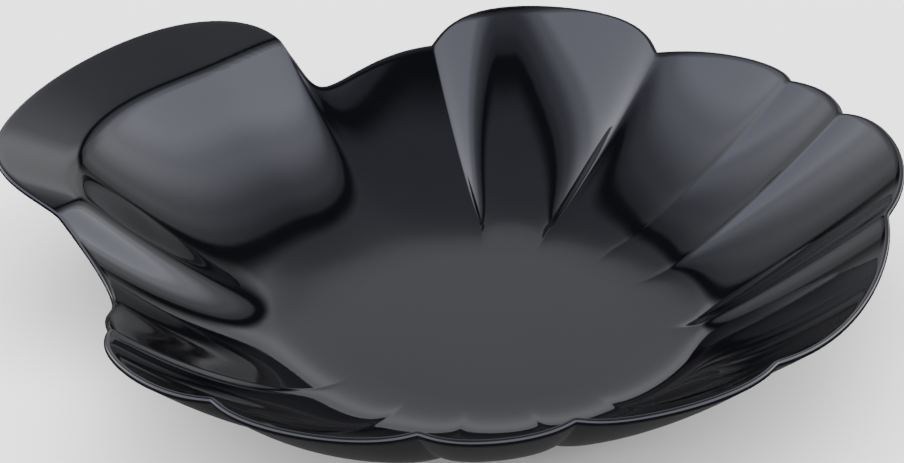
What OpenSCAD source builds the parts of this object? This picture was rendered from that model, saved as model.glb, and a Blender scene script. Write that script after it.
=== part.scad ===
// Scallop-shell dish with a flared tab, moulded in one piece.
// The origin is the middle of the flat underside that the dish rests on.
// +Z is up, +X points along the front lobe, and the tab is at -X.

/* [Floor] */
// Radius of the round floor
floor_radius = 72; // [70:1:74]
// Softness of the bend from the floor to the wall
floor_bend = 4; // [3:0.5:5]

/* [Wall] */
// Height of the ridges' ends above the floor
rim_height = 52; // [48:1:54]
// Rise over run of the wall where it meets the rim
rim_slope = 0.95; // [0.85:0.05:1]
// Thickness of the moulding
wall_thickness = 2.2; // [1.8:0.1:2.6]
// Share of the lobes' depth that is there at the edge of the floor
relief_at_floor = 0.4; // [0.3:0.05:0.45]
// Roundness of the ridges between the lobes
ridge_roundness = 0.08; // [0.08:0.02:0.2]

/* [Tab] */
// Distance from the middle to the end of the tab
tab_end = 175; // [170:1:178]
// Width of the tab
tab_width = 164; // [160:1:167]
// How far the tab's corners stand back from its end
tab_corner = 36; // [33:1:38]
// How far the tab is set to one side
tab_shift = 4; // [2:1:6]
// Width of the neck between the tab and the dish
neck_width = 161; // [157:1:164]
// Distance from the middle to the neck
neck_reach = 112; // [109:1:115]
// Rise over run of the tab's lip
lip_slope = 0.38; // [0.3:0.02:0.46]
// Softness of the crease between the wall and the lip
lip_bend = 1.5; // [1.5:0.5:4]

/* [Smoothness] */
// Points along the rim from one station to the next
points_per_station = 9; // [6:1:9]

/* [Hidden] */

// Each ridge, anticlockwise from the tab: the angle of its foot on the
// floor's edge, the angle of its end at the rim, and that end's reach
ridges = [
    [-114, -115, 148],
    [-90, -93, 163],
    [-70, -71, 157],
    [-50, -54, 149],
    [-27, -27, 144],
    [24, 22, 134],
    [56, 53, 143],
    [76, 66, 146],
    [98, 89, 142],
    [118, 125, 143],
];
// How far each lobe between two ridges bows outward at the rim, and how far
// its rim rises above the ridges' ends
lobe_depths = [6, 6, 6, 6, 3, 8, 3, 5, 21];
lobe_rises = [0, 0, 0, 0, 0, 2, 0, 1, 12];
lobes = len(lobe_depths);
// Reach of the crease where the tab's lip turns out, at the last ridge and at
// each of the tab's stations: it runs straight across the end and round a corner
lip_reaches = [149, 156, 160, 147, 153, 148, 135, 149, 149];
// The lobes' walls end this far short of where such a crease would be
lip_margin = 4;
// Radius of the truly flat middle of the floor
flat_radius = floor_radius - 20;
// Distance over which the lobes' relief takes hold beyond the floor's edge
relief_blend = 8;
// Width of a ridge's flanks, at the floor and at the rim
ridge_widths = [0.3, 0.9];
// Small step along the surface that its slope is measured over
step = 0.02;

function on_circle(radius, angle) = radius * [cos(angle), sin(angle)];

// The tab is a mirrored tongue, set to one side: neck, corner and end of one
// side, the end's middle, and the other side mirrored. A shoulder then leads
// to the first ridge.
neck_shift = tab_shift / 4;
end_back = 0.3 * tab_corner;
end_half = 0.33 * tab_width;
tab_side = [
    [-neck_reach, neck_shift + neck_width / 2],
    [tab_corner - tab_end, tab_shift + tab_width / 2],
    [end_back - tab_end, tab_shift + end_half],
];
tab_far_side = [
    [end_back - tab_end, tab_shift - end_half],
    [tab_corner - tab_end, tab_shift - tab_width / 2],
    [-neck_reach, neck_shift - neck_width / 2],
];
tongue = concat(tab_side, [[-tab_end, tab_shift]], tab_far_side);
shoulder = [-0.76 * neck_reach, -0.62 * neck_width];

// Stations round the rim: first the ridges, then the points of the tab,
// whose feet share the floor's edge evenly between the outer two ridges
rim_points = concat(
    [for (r = ridges) on_circle(r[2], r[1])],
    tongue,
    [shoulder]);
stations = len(rim_points);
tab_share = (ridges[0][0] + 360 - ridges[lobes][0]) / (stations - lobes);
foot_angles = concat(
    [for (r = ridges) r[0]],
    [for (k = [1:stations - lobes - 1]) ridges[lobes][0] + tab_share * k]);
bend_reach = concat([for (k = [0:lobes - 1]) ridges[k][2] + lip_margin], lip_reaches);
margins = [for (k = [0:stations - 1]) k < lobes ? lip_margin : 0];

function wrap(k) = (k % stations + stations) % stations;
function turns(k) = floor(k / stations);
function soft_abs(x, softness) = sqrt(x * x + softness * softness);
function soft_positive(x, softness) = (x + soft_abs(x, softness)) / 2;
function smooth_step(x) = x * x * (3 - 2 * x);
function unit(v) = v / norm(v);
function mix(pair, share) = pair[0] + (pair[1] - pair[0]) * share;

// Control values of the closed spline that passes through the wanted values,
// found by correcting them a number of times
function controls(wanted, per_turn = 0, passes = 12) =
    passes == 0 ? wanted
    : let (found = controls(wanted, per_turn, passes - 1))
      [for (k = [0:stations - 1])
          let (back = found[wrap(k - 1)] + turns(k - 1) * per_turn,
               on = found[wrap(k + 1)] + turns(k + 1) * per_turn)
          found[k] + wanted[k] - (back + 4 * found[k] + on) / 6];
rim_controls = controls(rim_points, [0, 0]);
foot_controls = controls(foot_angles, 360);

// A uniform cubic B-spline over a list of control values, one per station
function spline(values, s, per_turn = 0) =
    let (k = floor(s), t = s - k,
         weights = [pow(1 - t, 3), 3 * t * t * t - 6 * t * t + 4,
                    1 + 3 * t + 3 * t * t - 3 * t * t * t, t * t * t] / 6,
         near = [for (j = [0:3])
             values[wrap(k - 1 + j)] + per_turn * turns(k - 1 + j)])
    weights * near;

// A value per lobe, fading to nothing at each ridge and all along the tab
function lobe_value(values, s, width) =
    let (k = wrap(floor(s)),
         rise = soft_abs(sin(180 * s), ridge_roundness) - ridge_roundness,
         full = soft_abs(1, ridge_roundness) - ridge_roundness)
    k >= lobes ? 0 : values[k] * rise / (rise + width) * (full + width) / full;

// Height of the upper face over the floor, at a distance out from the floor's
// edge, where run is the distance from that edge to the crease
function wall_height(out, run, margin) =
    let (past = out - run, below = (past - soft_abs(past, lip_bend)) / 2,
         top = rim_height + rim_slope * margin,
         floor_slope = 2 * top / run - rim_slope,
         curve = (rim_slope - floor_slope) / (2 * run),
         wall = top + rim_slope * below + curve * below * below)
    soft_positive(wall + lip_slope * (past - below), floor_bend);

// A point of the upper face: s goes round by stations, and t is -1 at the
// edge of the flat middle, 0 at the floor's edge and 1 at the rim
function upper_point(s, t) =
    let (foot = spline(foot_controls, s, 360),
         inner = on_circle(flat_radius, foot),
         edge = on_circle(floor_radius, foot),
         rim = spline(rim_controls, s, [0, 0]),
         plan = t < 0 ? edge + (edge - inner) * t : edge + (rim - edge) * t,
         out = norm(plan) - floor_radius,
         run = spline(bend_reach, s) - floor_radius,
         margin = spline(margins, s),
         fade = smooth_step(min(1, 1 + out / (floor_radius - flat_radius))),
         rising = soft_positive(out, relief_blend) / run,
         share = relief_at_floor * fade + (1 - relief_at_floor) * rising,
         width = mix(ridge_widths, min(1, rising)),
         bow = lobe_value(lobe_depths, s, width) * share * fade,
         rise = lobe_value(lobe_rises, s, ridge_widths[1])
             * pow(max(0, min(1, out / run)), 3),
         height = wall_height(out, run, margin)
             - wall_height(flat_radius - floor_radius, run, margin) + rise)
    [plan.x, plan.y, 0] * (1 + bow / norm(plan)) + [0, 0, wall_thickness + height];

// Unit vector out of the upper face
function upper_normal(s, t) =
    let (inside = t > 1 - step ? t - step : t,
         along = upper_point(s + step, t) - upper_point(s - step, t),
         outward = upper_point(s, inside + step) - upper_point(s, inside))
    -unit(cross(along, outward));
function lower_point(s, t) =
    upper_point(s, t) - wall_thickness * upper_normal(s, t);

// Points round the edge, between the upper face and the lower
function edge_point(s, angle) =
    let (up = upper_normal(s, 1),
         along = upper_point(s + step, 1) - upper_point(s - step, 1),
         outward = unit(cross(along, up)),
         middle = upper_point(s, 1) - wall_thickness / 2 * up)
    middle + wall_thickness / 2 * (cos(angle) * up + sin(angle) * outward);

// Rows of points along a spoke, from the flat middle to the rim
spoke_rows = [-1, -0.6, -0.3, -0.1, 0, 0.04, 0.1, 0.18, 0.28, 0.4, 0.52, 0.64,
              0.75, 0.84, 0.92, 1];
ring_points = stations * points_per_station;
function ring_position(i) = i / points_per_station;

// The underside's flat middle lies in one plane
function flat_ring(height) =
    [for (i = [0:ring_points - 1])
        let (p = on_circle(flat_radius, spline(foot_controls, ring_position(i), 360)))
        [p.x, p.y, height]];

// Every ring of points from the middle of the upper face, out over the rim,
// and back to the middle of the lower face
rings = concat(
    [flat_ring(wall_thickness)],
    [for (j = [1:len(spoke_rows) - 1])
        [for (i = [0:ring_points - 1]) upper_point(ring_position(i), spoke_rows[j])]],
    [for (angle = [45, 90, 135])
        [for (i = [0:ring_points - 1]) edge_point(ring_position(i), angle)]],
    [for (j = [len(spoke_rows) - 1:-1:1])
        [for (i = [0:ring_points - 1]) lower_point(ring_position(i), spoke_rows[j])]],
    [flat_ring(0)]);

module shell_dish() {
    count = len(rings);
    color("#15151a")
    polyhedron(
        points = [for (ring = rings) each ring],
        faces = concat(
            [[for (i = [ring_points - 1:-1:0]) i]],
            [for (r = [0:count - 2])
                for (i = [0:ring_points - 1])
                    let (a = r * ring_points + i,
                         b = r * ring_points + (i + 1) % ring_points)
                    each [[a, b, b + ring_points],
                          [a, b + ring_points, a + ring_points]]],
            [[for (i = [0:ring_points - 1]) (count - 1) * ring_points + i]]),
        convexity = 8);
}

shell_dish();
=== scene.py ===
"""A scallop-shell dish in glossy black moulded plastic, on a pale studio floor."""

import math

import bpy
import numpy as np
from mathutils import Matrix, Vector


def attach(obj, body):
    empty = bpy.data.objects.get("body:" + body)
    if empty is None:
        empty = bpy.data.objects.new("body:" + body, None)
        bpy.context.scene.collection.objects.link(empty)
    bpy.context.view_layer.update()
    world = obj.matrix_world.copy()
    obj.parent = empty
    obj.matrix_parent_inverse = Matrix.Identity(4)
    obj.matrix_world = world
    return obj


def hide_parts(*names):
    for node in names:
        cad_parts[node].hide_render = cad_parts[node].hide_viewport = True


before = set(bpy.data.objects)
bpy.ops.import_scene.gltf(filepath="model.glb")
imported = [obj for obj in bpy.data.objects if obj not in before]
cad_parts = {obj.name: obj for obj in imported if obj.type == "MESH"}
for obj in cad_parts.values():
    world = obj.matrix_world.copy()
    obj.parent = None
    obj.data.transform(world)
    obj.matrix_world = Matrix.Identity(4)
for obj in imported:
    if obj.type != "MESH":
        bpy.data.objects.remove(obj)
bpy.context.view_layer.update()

# ---------------------------------------------------------------- the shape
# The same design as the CAD model, in metres, drawn finely enough that a
# mirror-like surface shows no facets.
MM = 0.001
FLOOR_RADIUS = 72 * MM
FLOOR_BEND = 4 * MM
FLAT_RADIUS = FLOOR_RADIUS - 20 * MM
RIM_HEIGHT = 52 * MM
RIM_SLOPE = 0.95
WALL_THICKNESS = 2.2 * MM

RELIEF_AT_FLOOR = 0.4
RELIEF_BLEND = 8 * MM
RIDGE_WIDTH = (0.3, 0.9)
RIDGE_ROUNDNESS = 0.08

TAB_END = 175 * MM
TAB_WIDTH = 164 * MM
TAB_CORNER = 36 * MM
TAB_SHIFT = 4 * MM
NECK_WIDTH = 161 * MM
NECK_REACH = 112 * MM
LIP_SLOPE = 0.38
LIP_BEND = 1.5 * MM
LIP_MARGIN = 4 * MM
# The tab's end is square for these shares of its corner's depth and width.
END_BACK_SHARE = 0.3
END_HALF_SHARE = 0.33
# The neck is set to one side by this share of the tab's own shift.
NECK_SHIFT_SHARE = 0.25
# Where the shoulder between the tab and the first ridge stands, as shares of
# the neck's reach and width.
SHOULDER_REACH_SHARE = 0.76
SHOULDER_WIDTH_SHARE = 0.62

# Each ridge, anticlockwise from the tab: the angle of its foot on the
# floor's edge, the angle of its end at the rim, and that end's reach in mm.
RIDGES = [
    (-114, -115, 148),
    (-90, -93, 163),
    (-70, -71, 157),
    (-50, -54, 149),
    (-27, -27, 144),
    (24, 22, 134),
    (56, 53, 143),
    (76, 66, 146),
    (98, 89, 142),
    (118, 125, 143),
]
# How far each lobe between two ridges bows outward at the rim, and how far
# its rim rises above the ridges' ends, in mm.
LOBE_DEPTHS = [6, 6, 6, 6, 3, 8, 3, 5, 21]
LOBE_RISES = [0, 0, 0, 0, 0, 2, 0, 1, 12]
LOBES = len(LOBE_DEPTHS)
# Reach of the crease where the tab's lip turns out, at the last ridge and
# each of the tab's stations, in mm. It runs straight across the end and
# round one corner.
LIP_REACHES = [149, 156, 160, 147, 153, 148, 135, 149, 149]


def on_circle(radius, degrees):
    angle = np.radians(degrees)
    return np.stack([radius * np.cos(angle), radius * np.sin(angle)], axis=-1)


def tab_outline():
    """The tab from its neck round its end and back: a mirrored tongue, set to one side."""
    neck = (-NECK_REACH, NECK_WIDTH / 2)
    corner = (TAB_CORNER - TAB_END, TAB_WIDTH / 2)
    near_end = (END_BACK_SHARE * TAB_CORNER - TAB_END, END_HALF_SHARE * TAB_WIDTH)
    side = np.array([neck, corner, near_end])
    tongue = np.concatenate([side, [(-TAB_END, 0)], side[::-1] * (1, -1)])
    tongue[:, 1] += NECK_SHIFT_SHARE * TAB_SHIFT
    tongue[1:-1, 1] += (1 - NECK_SHIFT_SHARE) * TAB_SHIFT
    shoulder = (-SHOULDER_REACH_SHARE * NECK_REACH, -SHOULDER_WIDTH_SHARE * NECK_WIDTH)
    return [tuple(point) for point in tongue] + [shoulder]


# Stations round the rim: first the ridges, then the points of the tab. The
# tab's stations share the floor's edge evenly between the outer two ridges.
RIM_POINTS = [tuple(on_circle(reach * MM, angle)) for _, angle, reach in RIDGES] + tab_outline()
STATIONS = len(RIM_POINTS)
TAB_SHARE = (RIDGES[0][0] + 360 - RIDGES[-1][0]) / (STATIONS - LOBES)
FOOT_ANGLES = [foot for foot, _, _ in RIDGES] + [
    RIDGES[-1][0] + TAB_SHARE * k for k in range(1, STATIONS - LOBES)]
BEND_REACH = [reach * MM + LIP_MARGIN for _, _, reach in RIDGES[:-1]]
BEND_REACH += [reach * MM for reach in LIP_REACHES]
MARGINS = [LIP_MARGIN] * LOBES + [0] * len(LIP_REACHES)

# Points round the rim from one station to the next, the step that slopes are
# measured over, and how often the spline's control values are corrected.
POINTS_PER_STATION = 34
STEP = 0.004
CONTROL_PASSES = 12
# The fine surface bulges a hair past the CAD model's flat facets, so it is
# drawn this much smaller to stay inside the CAD box.
FACET_INSET = 0.9985


def neighbours(values, per_turn):
    """The values one station back and one station on, round the closed curve."""
    back, on = np.roll(values, 1, axis=0), np.roll(values, -1, axis=0)
    back[0] -= per_turn
    on[-1] += per_turn
    return back, on


def controls(values, per_turn=0.0):
    """Control values of the spline that passes through the given values."""
    wanted = np.asarray(values, float)
    found = wanted.copy()
    for _ in range(CONTROL_PASSES):
        back, on = neighbours(found, per_turn)
        found = found + wanted - (back + 4 * found + on) / 6
    return found


RIM_CONTROLS = controls(RIM_POINTS)
FOOT_CONTROLS = controls(FOOT_ANGLES, 360)


def spline(values, s, per_turn=0.0):
    """A uniform cubic B-spline over one control value per station, closed on itself."""
    values = np.asarray(values, float)
    k = np.floor(s).astype(int)
    t = s - k
    weights = ((1 - t) ** 3, 3 * t ** 3 - 6 * t ** 2 + 4,
               1 + 3 * t + 3 * t ** 2 - 3 * t ** 3, t ** 3)
    # Room for the two coordinates of a point, where the values are points.
    spread = np.shape(s) + (1,) * (values.ndim - 1)
    total = 0.0
    for j, weight in enumerate(weights):
        station = k - 1 + j
        turns = (station // STATIONS).reshape(spread)
        total = total + (weight / 6).reshape(spread) * (values[station % STATIONS] + per_turn * turns)
    return total


def soft_abs(x, softness):
    return np.sqrt(x * x + softness * softness)


def lobe_value(values, s, width):
    """A value in mm per lobe, fading to nothing at each ridge and all along the tab."""
    lobe = np.floor(s).astype(int) % STATIONS
    rise = soft_abs(np.sin(np.pi * s), RIDGE_ROUNDNESS) - RIDGE_ROUNDNESS
    full = soft_abs(1.0, RIDGE_ROUNDNESS) - RIDGE_ROUNDNESS
    shape = rise / (rise + width) * (full + width) / full
    value = np.asarray(values)[np.minimum(lobe, LOBES - 1)] * MM
    return np.where(lobe < LOBES, value * shape, 0.0)


def wall_height(out, run, margin):
    """Height over the floor at a distance out from the floor's edge."""
    past = out - run
    below = (past - soft_abs(past, LIP_BEND)) / 2
    top = RIM_HEIGHT + RIM_SLOPE * margin
    floor_slope = 2 * top / run - RIM_SLOPE
    curve = (RIM_SLOPE - floor_slope) / (2 * run)
    height = top + RIM_SLOPE * below + curve * below ** 2 + LIP_SLOPE * (past - below)
    return (height + soft_abs(height, FLOOR_BEND)) / 2


def upper_point(s, t):
    """A point of the upper face: s goes round by stations, t from floor to rim."""
    foot = spline(FOOT_CONTROLS, s, 360)
    inner, edge = on_circle(FLAT_RADIUS, foot), on_circle(FLOOR_RADIUS, foot)
    rim = spline(RIM_CONTROLS, s)
    along = t[..., None]
    plan = edge + np.where(along < 0, edge - inner, rim - edge) * along
    distance = np.linalg.norm(plan, axis=-1)
    out = distance - FLOOR_RADIUS
    run = spline(BEND_REACH, s) - FLOOR_RADIUS
    fade = np.minimum(1, 1 + out / (FLOOR_RADIUS - FLAT_RADIUS))
    fade = fade * fade * (3 - 2 * fade)
    rising = (out + soft_abs(out, RELIEF_BLEND)) / 2 / run
    share = RELIEF_AT_FLOOR * fade + (1 - RELIEF_AT_FLOOR) * rising
    width = RIDGE_WIDTH[0] + (RIDGE_WIDTH[1] - RIDGE_WIDTH[0]) * np.minimum(rising, 1)
    bow = lobe_value(LOBE_DEPTHS, s, width) * share * fade
    margin = spline(MARGINS, s)
    height = wall_height(out, run, margin) - wall_height(FLAT_RADIUS - FLOOR_RADIUS, run, margin)
    height = height + lobe_value(LOBE_RISES, s, RIDGE_WIDTH[1]) * np.clip(out / run, 0, 1) ** 3
    flat = plan * (1 + bow / distance)[..., None]
    return np.concatenate([flat, (WALL_THICKNESS + height)[..., None]], axis=-1)


def unit(v):
    return v / np.linalg.norm(v, axis=-1, keepdims=True)


def upper_normal(s, t):
    inside = np.minimum(t, 1 - STEP)
    around = upper_point(s + STEP, t) - upper_point(s - STEP, t)
    outward = upper_point(s, inside + STEP) - upper_point(s, inside)
    return -unit(np.cross(around, outward))


# Rows of points along a spoke, from the flat middle to the floor's edge and on
# to the rim, closer together at the foot of the wall, and round the rim's edge.
FLOOR_ROWS = list(np.linspace(-1, 0, 13)[:-1])
WALL_ROWS = list(np.linspace(0, 1, 61) ** 1.3)
RIM_ANGLES = range(20, 180, 20)


def dish_rings():
    """Rings of points from the upper middle, out over the rim, to the lower middle."""
    # Points crowd towards each station, where the ridges need them.
    within = (1 - np.cos(np.pi * np.arange(POINTS_PER_STATION) / POINTS_PER_STATION)) / 2
    s = (np.arange(STATIONS)[:, None] + within).ravel()
    whole = np.ones_like(s)
    rows = FLOOR_ROWS + WALL_ROWS
    rings = [upper_point(s, t * whole) for t in rows]

    up = upper_normal(s, whole)
    around = upper_point(s + STEP, whole) - upper_point(s - STEP, whole)
    outward = unit(np.cross(around, up))
    middle = upper_point(s, whole) - WALL_THICKNESS / 2 * up
    for degrees in RIM_ANGLES:
        a = math.radians(degrees)
        rings.append(middle + WALL_THICKNESS / 2 * (math.cos(a) * up + math.sin(a) * outward))

    for t in reversed(rows):
        rings.append(upper_point(s, t * whole) - WALL_THICKNESS * upper_normal(s, t * whole))
    return rings


def build_dish():
    rings = [FACET_INSET * ring for ring in dish_rings()]
    count = len(rings[0])
    points = np.concatenate(rings)
    last = len(rings) - 1
    top_middle, low_middle = len(points), len(points) + 1
    verts = [tuple(p) for p in points] + [(0, 0, rings[0][0][2]), (0, 0, rings[-1][0][2])]
    faces = []
    for r in range(last):
        for i in range(count):
            a, b = r * count + i, r * count + (i + 1) % count
            faces.append((a, a + count, b + count, b))
    for i in range(count):
        j = (i + 1) % count
        faces.append((top_middle, i, j))
        faces.append((low_middle, last * count + j, last * count + i))
    mesh = bpy.data.meshes.new("shell_dish_surface")
    mesh.from_pydata(verts, [], faces)
    mesh.shade_smooth()
    dish = bpy.data.objects.new("shell_dish_surface", mesh)
    bpy.context.scene.collection.objects.link(dish)
    return dish


# ------------------------------------------------------------- the material
# Polished black plastic. The polish wavers very slightly, as on any large
# moulding, and has a haze of fine wiping marks.
BLACK = (0.0015, 0.0015, 0.002)
LIGHTEST_TINT = 1.6
PLASTIC_IOR = 1.5
# The plastic's reflections are slightly cool.
SHEEN_TINT = (0.81, 0.83, 1.0, 1)
# Share of the noise that the haze's range of roughness runs over.
HAZE_SPAN = (0.35, 0.7)
POLISH_ROUGHNESS = (0.02, 0.07)
HAZE_SCALE = 90.0
# Bumps as scale, height in metres and detail: the moulding's slow waviness,
# and the fine grain of the mould.
WAVINESS = (14.0, 0.0002, 0.0)
GRAIN = (420.0, 0.000004, 1.0)


def polished_plastic():
    material = bpy.data.materials.new("polished_black_plastic")
    material.use_nodes = True
    nodes, links = material.node_tree.nodes, material.node_tree.links
    shader = nodes["Principled BSDF"]
    shader.inputs["IOR"].default_value = PLASTIC_IOR
    shader.inputs["Specular Tint"].default_value = SHEEN_TINT
    position = nodes.new("ShaderNodeTexCoord").outputs["Object"]

    def noise(scale, detail):
        node = nodes.new("ShaderNodeTexNoise")
        node.inputs["Scale"].default_value = scale
        node.inputs["Detail"].default_value = detail
        links.new(position, node.inputs["Vector"])
        return node.outputs["Fac"]

    haze = nodes.new("ShaderNodeMapRange")
    haze.inputs["From Min"].default_value, haze.inputs["From Max"].default_value = HAZE_SPAN
    haze.inputs["To Min"].default_value, haze.inputs["To Max"].default_value = POLISH_ROUGHNESS
    links.new(noise(HAZE_SCALE, 5.0), haze.inputs["Value"])
    links.new(haze.outputs["Result"], shader.inputs["Roughness"])

    tint = nodes.new("ShaderNodeValToRGB")
    tint.color_ramp.elements[0].color = BLACK + (1,)
    tint.color_ramp.elements[1].color = tuple(LIGHTEST_TINT * channel for channel in BLACK) + (1,)
    links.new(noise(HAZE_SCALE / 3, 2.0), tint.inputs["Fac"])
    links.new(tint.outputs["Color"], shader.inputs["Base Color"])

    normal = None
    for scale, height, detail in (WAVINESS, GRAIN):
        bump = nodes.new("ShaderNodeBump")
        bump.inputs["Distance"].default_value = height
        links.new(noise(scale, detail), bump.inputs["Height"])
        if normal is not None:
            links.new(normal, bump.inputs["Normal"])
        normal = bump.outputs["Normal"]
    links.new(normal, shader.inputs["Normal"])
    return material


dish = build_dish()
dish.data.materials.append(polished_plastic())
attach(dish, "root")
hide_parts("shell_dish")


# ------------------------------------------------------ floor, light, camera
STAGE_HALF = 3.0
PALE = (0.85, 0.85, 0.85, 1)
PALE_ROUGHNESS = 0.7


def studio_floor():
    """The floor, which the plastic doesn't mirror."""
    mesh = bpy.data.meshes.new("studio_floor")
    corners = [(x * STAGE_HALF, y * STAGE_HALF, 0) for x, y in ((-1, -1), (1, -1), (1, 1), (-1, 1))]
    mesh.from_pydata(corners, [], [(0, 1, 2, 3)])
    floor = bpy.data.objects.new("studio_floor", mesh)
    bpy.context.scene.collection.objects.link(floor)
    material = bpy.data.materials.new("pale_floor")
    material.use_nodes = True
    shader = material.node_tree.nodes["Principled BSDF"]
    shader.inputs["Base Color"].default_value = PALE
    shader.inputs["Roughness"].default_value = PALE_ROUGHNESS
    mesh.materials.append(material)
    floor.visible_glossy = False


# One large soft lamp overhead lights the floor. It is left out of the
# reflections, which the tent around the dish makes.
LAMP_SIDE = 1.6
LAMP_HEIGHT = 1.6
LAMP_WATTS = 42.0


def overhead_lamp():
    data = bpy.data.lights.new("overhead_lamp", "AREA")
    data.shape = "SQUARE"
    data.size = LAMP_SIDE
    data.energy = LAMP_WATTS
    lamp = bpy.data.objects.new("overhead_lamp", data)
    lamp.location = (0, 0, LAMP_HEIGHT)
    lamp.visible_glossy = False
    bpy.context.scene.collection.objects.link(lamp)


studio_floor()
overhead_lamp()

# Where the camera stands, in degrees and metres, what it aims at, to its right
# and away from it, and its lens in mm.
CAMERA_AZIMUTH = 27.0
CAMERA_ELEVATION = 26.9
CAMERA_DISTANCE = 13.03 * FLOOR_RADIUS
CAMERA_AIM = (-0.168 * FLOOR_RADIUS, 1.001 * FLOOR_RADIUS)
LENS = 99.56


def add_camera():
    azimuth, elevation = math.radians(CAMERA_AZIMUTH), math.radians(CAMERA_ELEVATION)
    right = Vector((math.cos(azimuth), math.sin(azimuth), 0))
    away = Vector((-math.sin(azimuth), math.cos(azimuth), 0))
    back = -away * math.cos(elevation) + Vector((0, 0, math.sin(elevation)))
    target = right * CAMERA_AIM[0] + away * CAMERA_AIM[1]
    target.z = WALL_THICKNESS
    data = bpy.data.cameras.new("camera")
    data.lens = LENS
    camera = bpy.data.objects.new("camera", data)
    camera.location = target + back * CAMERA_DISTANCE
    camera.rotation_euler = (-back).to_track_quat("-Z", "Y").to_euler()
    bpy.context.scene.collection.objects.link(camera)
    bpy.context.scene.camera = camera


# The studio is a bright tent with one dim panel hung over the dish. The
# panel is a rounded rectangle in a plane square to the line that rises from
# the dish at this angle, away from the camera. Places on it are in units of
# its distance from the dish: across, and along from the camera's side.
PANEL_TILT = 45.0
PANEL_HALF_WIDTH = 0.47
PANEL_NEAR = -1.95
PANEL_FAR = 6.0
PANEL_CORNER = 0.35
PANEL_LENGTH_SCALE = 0.15
# Directions that point away from the panel count as this far towards it.
LEAST_DEPTH = 0.02
EDGE_GLOW = 0.01
HORIZON_GLOW = 0.45

# Glow across the panel's edge, by distance out from it.
EDGE_SPAN = (-0.12, 0.5)
EDGE_STOPS = ((-0.03, EDGE_GLOW), (0.0, EDGE_GLOW), (0.03, 0.4), (0.12, 0.8), (0.3, 2.3), (0.42, 3.6))
# Glow along the panel, brightest a little past the place where it faces the dish.
ALONG_SPAN = (0.0, 1.0)
ALONG_STOPS = ((0.0, 0.55), (0.3, 0.8), (0.42, 1.2), (0.6, 0.75), (1.0, 0.5))
# Elevations between which the tent's glow gives way to the horizon's, and the
# horizon's to the dark below it, as sines. The plastic mirrors that dark in
# place of the floor, as if the dish stood alone in a studio.
HORIZON_SPAN = (0.02, 0.2)
GROUND_SPAN = (-0.1, 0.02)
GROUND_GLOW = 0.08


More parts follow.
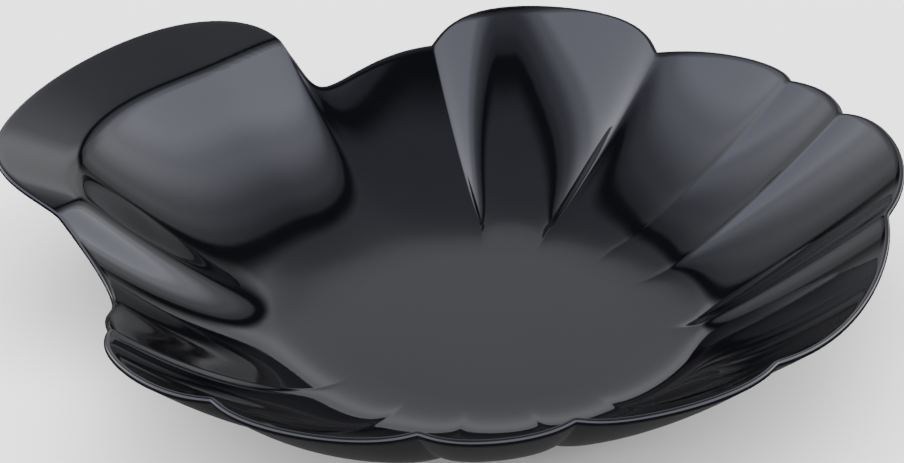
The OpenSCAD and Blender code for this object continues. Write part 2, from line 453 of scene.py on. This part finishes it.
def studio_world():
    world = bpy.data.worlds.new("studio")
    bpy.context.scene.world = world
    world.use_nodes = True
    tree = world.node_tree
    nodes, links = tree.nodes, tree.links

    def math_node(operation, *values):
        node = nodes.new("ShaderNodeMath")
        node.operation = operation
        for socket, value in zip(node.inputs, values):
            if isinstance(value, (int, float)):
                socket.default_value = value
            else:
                links.new(value, socket)
        return node.outputs[0]

    def along(axis):
        node = nodes.new("ShaderNodeVectorMath")
        node.operation = "DOT_PRODUCT"
        links.new(direction, node.inputs[0])
        node.inputs[1].default_value = axis
        return node.outputs["Value"]

    def remap(value, span, interpolation="LINEAR"):
        node = nodes.new("ShaderNodeMapRange")
        node.interpolation_type = interpolation
        node.inputs["From Min"].default_value, node.inputs["From Max"].default_value = span
        links.new(value, node.inputs["Value"])
        return node.outputs["Result"]

    def glow_ramp(value, span, levels):
        """Glow levels at given values, on a ramp that runs over the span."""
        ramp = nodes.new("ShaderNodeValToRGB")
        ramp.color_ramp.interpolation = "EASE"
        links.new(remap(value, span), ramp.inputs["Fac"])
        stops = ramp.color_ramp.elements
        stops.remove(stops[1])
        for count, (place, level) in enumerate(levels):
            position = (place - span[0]) / (span[1] - span[0])
            stop = stops.new(position) if count else stops[0]
            stop.position, stop.color = position, (level, level, level, 1)
        return ramp

    def mix(share, first, second):
        node = nodes.new("ShaderNodeMixRGB")
        for name, value in (("Fac", share), ("Color1", first), ("Color2", second)):
            if isinstance(value, float):
                node.inputs[name].default_value = (value, value, value, 1)
            else:
                links.new(value, node.inputs[name])
        return node.outputs["Color"]

    direction = nodes.new("ShaderNodeTexCoord").outputs["Generated"]
    azimuth, tilt = math.radians(CAMERA_AZIMUTH), math.radians(PANEL_TILT)
    right = Vector((math.cos(azimuth), math.sin(azimuth), 0))
    away = Vector((-math.sin(azimuth), math.cos(azimuth), 0))
    centre = away * math.sin(tilt) + Vector((0, 0, math.cos(tilt)))
    upward = away * math.cos(tilt) - Vector((0, 0, math.sin(tilt)))
    depth = math_node("MAXIMUM", along(centre), LEAST_DEPTH)
    u = math_node("DIVIDE", along(right), depth)
    v = math_node("DIVIDE", along(upward), depth)

    middle = (PANEL_NEAR + PANEL_FAR) / 2
    half_length = PANEL_LENGTH_SCALE * (PANEL_FAR - PANEL_NEAR) / 2
    from_middle = math_node("MULTIPLY", math_node("ABSOLUTE", math_node("SUBTRACT", v, middle)),
                            PANEL_LENGTH_SCALE)
    du = math_node("SUBTRACT", math_node("ABSOLUTE", u), PANEL_HALF_WIDTH - PANEL_CORNER)
    dv = math_node("SUBTRACT", from_middle, half_length - PANEL_CORNER)
    du_out, dv_out = math_node("MAXIMUM", du, 0.0), math_node("MAXIMUM", dv, 0.0)
    corner = math_node("SQRT", math_node("ADD", math_node("MULTIPLY", du_out, du_out),
                                         math_node("MULTIPLY", dv_out, dv_out)))
    inside = math_node("MINIMUM", math_node("MAXIMUM", du, dv), 0.0)
    gap = math_node("SUBTRACT", math_node("ADD", corner, inside), PANEL_CORNER)

    panel = glow_ramp(v, ALONG_SPAN, ALONG_STOPS).outputs["Color"]
    surround = glow_ramp(gap, EDGE_SPAN, EDGE_STOPS).outputs["Color"]
    off_panel = remap(gap, (EDGE_SPAN[0], EDGE_STOPS[0][0]), "SMOOTHSTEP")
    tent = mix(off_panel, panel, surround)
    above = remap(along((0, 0, 1)), HORIZON_SPAN, "SMOOTHSTEP")
    over_ground = remap(along((0, 0, 1)), GROUND_SPAN, "SMOOTHSTEP")
    glow = mix(over_ground, GROUND_GLOW, mix(above, HORIZON_GLOW, tent))
    links.new(glow, nodes["Background"].inputs["Color"])


studio_world()
add_camera()
